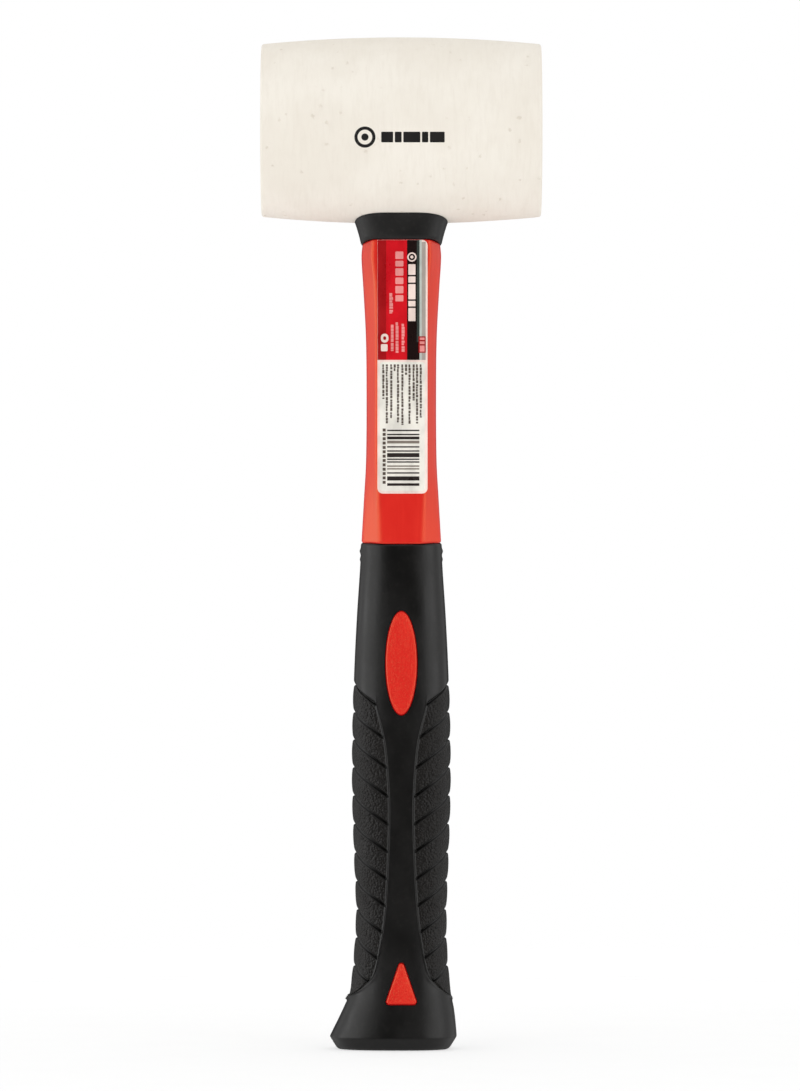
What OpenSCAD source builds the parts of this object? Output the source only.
// Rubber mallet: a solid barrel head on a two-shot handle with a fibreglass core.
// Millimetres. It stands on its butt with +Z up the handle. The striking faces look along X,
// and the labelled side of the handle looks along -Y.

/* [Head] */
// Length over the two striking faces
head_len = 94; // [86:1:104]
// Barrel diameter at the middle
head_d = 62.6; // [61:0.2:68]
// Diameter at the striking faces
face_d = 58; // [54:0.2:60]
// Rounding around each striking face
face_edge = 1; // [0.5:0.1:2]
// Depth of the blind socket above the underside of the barrel
socket_depth = 46; // [38:1:50]

/* [Handle] */
// Height of the shoulder that carries the collar
shoulder_h = 270; // [266:1:276]
// Height of the collar between the shoulder and the underside of the barrel
collar_h = 7.4; // [6:0.2:9]
// Height of the top edge of the rubber grip
grip_h = 170; // [168:1:172]
// Width of the tenon, along the head
tenon_w = 22; // [21:0.5:23]
// Thickness of the tenon, across the head
tenon_d = 16; // [15.5:0.5:17]
// Number of ribs that key the tenon into the adhesive
rib_count = 5; // [3:1:6]
// Diameter of the fibreglass core rod
rod_d = 12; // [9:0.5:12]

/* [Grip] */
// Number of grooves on each side of the channel
groove_count = 11; // [6:1:11]
// Rise from one groove to the next
groove_pitch = 9.39; // [9:0.01:9.4]
// Width of a groove
groove_w = 1.7; // [1:0.1:2.2]
// Depth of a groove
groove_depth = 1; // [0.4:0.1:1.2]
// Slope of the grooves, up and outwards from the channel
groove_slope = 42; // [36:1:46]
// Height of the oval window
oval_h = 35.2; // [30:0.2:38]
// Width of the oval window
oval_w = 11; // [9:0.2:12]
// Height of the triangular window
triangle_h = 14.2; // [12:0.2:15]
// Width of the triangular window at its base
triangle_w = 10.6; // [9:0.2:11]

/* [Label] */
// Width of the sticker
label_w = 16.8; // [14:0.2:17]
// Height of the sticker
label_h = 83; // [70:1:83]
// Thickness of the sticker
label_t = 0.15; // [0.1:0.05:0.3]
// How far the sticker sits to the right of the middle
label_x = 0.4; // [-0.5:0.1:0.5]

/* [Hidden] */
$fn = 64;

head_z = shoulder_h + collar_h + head_d / 2;
barrel_bottom = shoulder_h + collar_h;
socket_top = barrel_bottom + socket_depth;

// Adhesive film around the tenon, and how far the ribs stand out into it
glue_gap = 1;
rib_out = 0.6;
rib_h = 1.6;
tenon_top = socket_top - glue_gap;
tenon_corner = 3;

// The rod stops short of both ends of the jacket
rod_bottom = 12;
rod_top = tenon_top - 3;

// Jacket above the grip: height, half width, half depth, half width of the front flat
jacket = [
    [grip_h, 13.4, 10.8, 7.2],
    [grip_h + 14, 12.6, 10.2, 7.8],
    [grip_h + 28, 11.85, 10, 8.4],
    [grip_h + 54, 11.7, 10, 8.4],
    [shoulder_h - 30, 11.95, 10, 8.4],
    [shoulder_h - 14, 12.8, 10.2, 8.7],
    [shoulder_h - 4, 13.4, 10.9, 9.8],
    [shoulder_h, 13.1, 10.7, 9.6]
];
jacket_corner = 1.6;

// Jacket core under the grip, in the same columns
core_bottom = 8;
core = [
    [core_bottom, 12, 9.4, 6],
    [44, 11.6, 9, 6],
    [90, 12.8, 9.8, 6.5],
    [130, 12.2, 9.4, 6.2],
    [grip_h, 10.4, 8.2, 5.6]
];

// Grip above its bottom chamfer: height, half width towards -X, half width towards +X, half depth
chamfer_h = 4.1;
chamfer_in = 2.6;
grip = [
    [chamfer_h, 24.1, 18.4, 16.2],
    [9.5, 21.5, 17.9, 15],
    [13.5, 19.7, 17.5, 14.4],
    [18.5, 17.8, 16.7, 13.8],
    [25, 16.6, 16.1, 13.2],
    [33, 15.8, 15.4, 12.7],
    [46, 15.2, 15.2, 12.4],
    [63, 15.8, 15.8, 12.7],
    [86, 16.5, 16.5, 13.1],
    [108, 16.4, 16.4, 13],
    [128, 15.8, 15.8, 12.6],
    [146, 14.9, 14.9, 11.9],
    [grip_h - 7, 13.8, 13.8, 11.1],
    [grip_h, 13.6, 13.6, 10.9]
];
grip_squareness = 2.5;
ring_step = 6;
ring_points = 32;

// Half width of the smooth channel down the front and back of the grip, by height
channel = [[18, 15.6], [22, 11.4], [30, 7.8], [44, 5.7], [61, 4.6], [80, 4.1], [94, 4.7], [104, 5.8],
    [115, 8.4]];

// Where the grooves cut the sides of the grip, and how far below that they leave the channel
groove_side = 15.8;
lowest_notch = 28.3;
groove_fall = 8;

// Windows through the grip, and the red pads that fill them
oval_z = 129.7;
triangle_z = 15.2;
window_corner = 1.2;
window_reach = 30;
pad_sink = 0.2;

// Collar section, and how fast it widens upwards
collar_half = [13.45, 11.1];
collar_taper = [0.28, 0.26];
collar_squareness = 3.6;
collar_reach = 14;

label_z = shoulder_h - 0.5 - label_h;
label_corner = 1.5;

white_rubber = [0.91, 0.88, 0.84];
black_rubber = [0.16, 0.15, 0.14];
red_plastic = [0.84, 0.16, 0.14];
glass_fibre = [0.85, 0.8, 0.6];
epoxy = [0.78, 0.66, 0.42];
label_print = [0.93, 0.9, 0.88];

// Value of one column of a station table at height z, on a smooth curve through the stations
function bend(t, i, c) =
    let (a = max(i - 1, 0), b = min(i + 1, len(t) - 1))
    (t[b][c] - t[a][c]) / (t[b][0] - t[a][0]);
function curve(t, z, c) =
    let (
        below = [for (k = [0 : len(t) - 2]) if (t[k][0] <= z + 0.001) k],
        i = max(concat([0], below)),
        gap = t[i + 1][0] - t[i][0],
        u = (z - t[i][0]) / gap,
        u2 = u * u,
        u3 = u2 * u
    )
    (2 * u3 - 3 * u2 + 1) * t[i][c] + (u3 - 2 * u2 + u) * gap * bend(t, i, c)
    + (3 * u2 - 2 * u3) * t[i + 1][c] + (u3 - u2) * gap * bend(t, i + 1, c);

// Heights that divide a table's span into equal steps
function heights(t, step) =
    let (low = t[0][0], span = t[len(t) - 1][0] - low, n = round(span / step))
    [for (k = [0 : n]) low + span * k / n];

// Oval ring with flattened sides: half width towards -X and +X, and half depth
function oval_ring(z, left, right, depth, squareness) = [
    for (i = [0 : ring_points - 1])
        let (a = 360 * i / ring_points, x = cos(a), y = sin(a), e = 2 / squareness)
        [sign(x) * (x < 0 ? left : right) * pow(abs(x), e), sign(y) * depth * pow(abs(y), e), z]
];

// Eight-sided ring with every corner eased over a distance r
function eased_ring(corners, z, r) = [
    for (i = [0 : len(corners) - 1])
        let (
            p = corners[i],
            to_last = corners[(i + len(corners) - 1) % len(corners)] - p,
            to_next = corners[(i + 1) % len(corners)] - p,
            a = p + r * to_last / norm(to_last),
            b = p + r * to_next / norm(to_next)
        )
        each [[a.x, a.y, z], [(a.x + b.x) / 4 + p.x / 2, (a.y + b.y) / 4 + p.y / 2, z], [b.x, b.y, z]]
];
function jacket_ring(t, z, grow) =
    let (
        w = curve(t, z, 1) + grow,
        d = curve(t, z, 2) + grow,
        flat = curve(t, z, 3) + 0.4 * grow,
        side = 0.45 * d
    )
    eased_ring([[w, -side], [w, side], [flat, d], [-flat, d], [-w, side], [-w, -side], [-flat, -d],
        [flat, -d]], z, jacket_corner);

// Closed solid through a stack of rings, lowest first
module skin(rings) {
    n = len(rings[0]);
    top = len(rings) - 1;
    polyhedron(
        points = [for (ring = rings) each ring],
        faces = concat(
            [[for (i = [0 : n - 1]) i]],
            [[for (i = [n - 1 : -1 : 0]) top * n + i]],
            [for (k = [0 : top - 1], i = [0 : n - 1])
                let (a = k * n + i, b = k * n + (i + 1) % n)
                each [[a, a + n, b + n], [a, b + n, b]]]
        )
    );
}

// Half outline of the barrel: a long crown arc with an eased edge at each end
crown_sag = (head_d - face_d) / 2;
crown_r = (pow(head_len / 2, 2) + pow(crown_sag, 2)) / (2 * crown_sag);
crown_steps = 8;
edge_x = head_len / 2 - face_edge;
function crown(x) = head_d / 2 - crown_r + sqrt(crown_r * crown_r - x * x);
crown_points = [
    for (k = [-crown_steps : crown_steps])
        let (x = edge_x * k / crown_steps)
        [crown(x), x]
];
edge_points = [for (a = [22.5 : 22.5 : 90])
    [crown(edge_x) - face_edge + face_edge * cos(a), edge_x + face_edge * sin(a)]];

module barrel() {
    translate([0, 0, head_z])
        rotate([0, 90, 0])
            rotate_extrude($fn = 96)
                polygon(concat(
                    [[0, -head_len / 2]],
                    [for (k = [len(edge_points) - 1 : -1 : 0]) [edge_points[k].x, -edge_points[k].y]],
                    crown_points,
                    edge_points,
                    [[0, head_len / 2]]
                ));
}

// Upright block with round corners, from height low to height high
module block(w, d, low, high, r) {
    translate([0, 0, low])
        linear_extrude(high - low)
            union() {
                square([w - 2 * r, d], center = true);
                square([w, d - 2 * r], center = true);
                for (x = [-1, 1], y = [-1, 1])
                    translate([x * (w / 2 - r), y * (d / 2 - r)])
                        circle(r);
            }
}

// Ribbed tenon, starting at the given height
module tenon(low) {
    block(tenon_w, tenon_d, low, tenon_top, tenon_corner);
    for (k = [1 : rib_count])
        let (z = barrel_bottom + k * (socket_depth - 4) / (rib_count + 1))
            block(tenon_w + 2 * rib_out, tenon_d + 2 * rib_out, z, z + rib_h, tenon_corner);
}

module socket() {
    block(tenon_w + 2 * glue_gap, tenon_d + 2 * glue_gap, barrel_bottom - 1, socket_top,
        tenon_corner + glue_gap);
}

// Outlines of the two windows, standing in the XZ plane
module oval_outline() {
    translate([0, oval_z])
        scale([oval_w / oval_h, 1])
            circle(d = oval_h);
}

module triangle_outline() {
    hull() {
        for (x = [-1, 1])
            translate([x * (triangle_w / 2 - window_corner), triangle_z + window_corner])
                circle(window_corner, $fn = 24);
        translate([0, triangle_z + triangle_h - window_corner])
            circle(window_corner, $fn = 24);
    }
}

// Prisms from the middle outwards through both windows, on the front and on the back
module window_prisms() {
    for (turn = [0, 180])
        rotate([90, 0, turn])
            linear_extrude(window_reach) {
                oval_outline();
                triangle_outline();
            }
}

// Section of the grip at height z, and its whole outer surface, both shrunk by inset
function grip_ring(z, inset) =
    oval_ring(z, curve(grip, z, 1) - inset, curve(grip, z, 2) - inset, curve(grip, z, 3) - inset,
        grip_squareness);
module grip_body(inset) {
    foot = chamfer_in + inset;
    skin(concat(
        [oval_ring(0, grip[0][1] - foot, grip[0][2] - foot, grip[0][3] - foot, grip_squareness)],
        [for (z = heights(grip, ring_step)) grip_ring(z, inset)]
    ));
}

// Slanted slots through the whole depth of the grip, on both sides of the channel
module groove_slots() {
    rise = tan(groove_slope);
    for (side = [-1, 1], k = [0 : groove_count - 1])
        let (
            notch = lowest_notch + k * groove_pitch,
            inner = lookup(notch - groove_fall, channel) + groove_w / 2,
            outer = groove_side + 4
        )
            hull()
                for (x = [inner, outer])
                    translate([side * x, 0, notch + (x - groove_side) * rise])
                        rotate([90, 0, 0])
                            cylinder(d = groove_w, h = 60, center = true, $fn = 10);
}

// What the grooves take off the grip, down to their floors
module groove_cuts() {
    spare = 16;
    low = lowest_notch - spare;
    high = lowest_notch + groove_count * groove_pitch + spare;
    difference() {
        groove_slots();
        skin([for (z = [low : ring_step : high]) grip_ring(z, groove_depth)]);
    }
}

module jacket_body(grow) {
    skin([for (z = heights(jacket, ring_step)) jacket_ring(jacket, z, grow)]);
}

module jacket_core() {
    skin([for (z = heights(core, 8)) jacket_ring(core, z, 0)]);
}

module mallet_head() {
    color(white_rubber)
        difference() {
            barrel();
            socket();
        }
}

module head_adhesive() {
    color(epoxy)
        difference() {
            intersection() {
                socket();
                barrel();
            }
            tenon(shoulder_h);
        }
}

module neck_collar() {
    color(black_rubber)
        difference() {
            skin([for (up = [0, collar_reach])
                let (w = collar_half.x + collar_taper.x * up, d = collar_half.y + collar_taper.y * up)
                oval_ring(shoulder_h + up, w, w, d, collar_squareness)]);
            barrel();
            block(tenon_w, tenon_d, shoulder_h - 1, shoulder_h + 2 * collar_reach, tenon_corner);
        }
}

module core_rod() {
    color(glass_fibre)
        translate([0, 0, rod_bottom])
            cylinder(d = rod_d, h = rod_top - rod_bottom);
}

module handle_shell() {
    color(red_plastic)
        difference() {
            union() {
                jacket_body(0);
                jacket_core();
                tenon(shoulder_h - 5);
                intersection() {
                    window_prisms();
                    grip_body(pad_sink);
                }
            }
            translate([0, 0, rod_bottom])
                cylinder(d = rod_d / cos(180 / $fn), h = rod_top - rod_bottom);
        }
}

module grip_sleeve() {
    color(black_rubber)
        difference() {
            grip_body(0);
            groove_cuts();
            jacket_core();
            window_prisms();
        }
}

module label_sticker() {
    color(label_print)
        difference() {
            intersection() {
                jacket_body(label_t);
                translate([label_x, 0, label_z + label_h / 2])
                    rotate([90, 0, 0])
                        block(label_w, label_h, 2, 20, label_corner);
            }
            jacket_body(0);
        }
}

mallet_head();
head_adhesive();
neck_collar();
core_rod();
handle_shell();
grip_sleeve();
label_sticker();
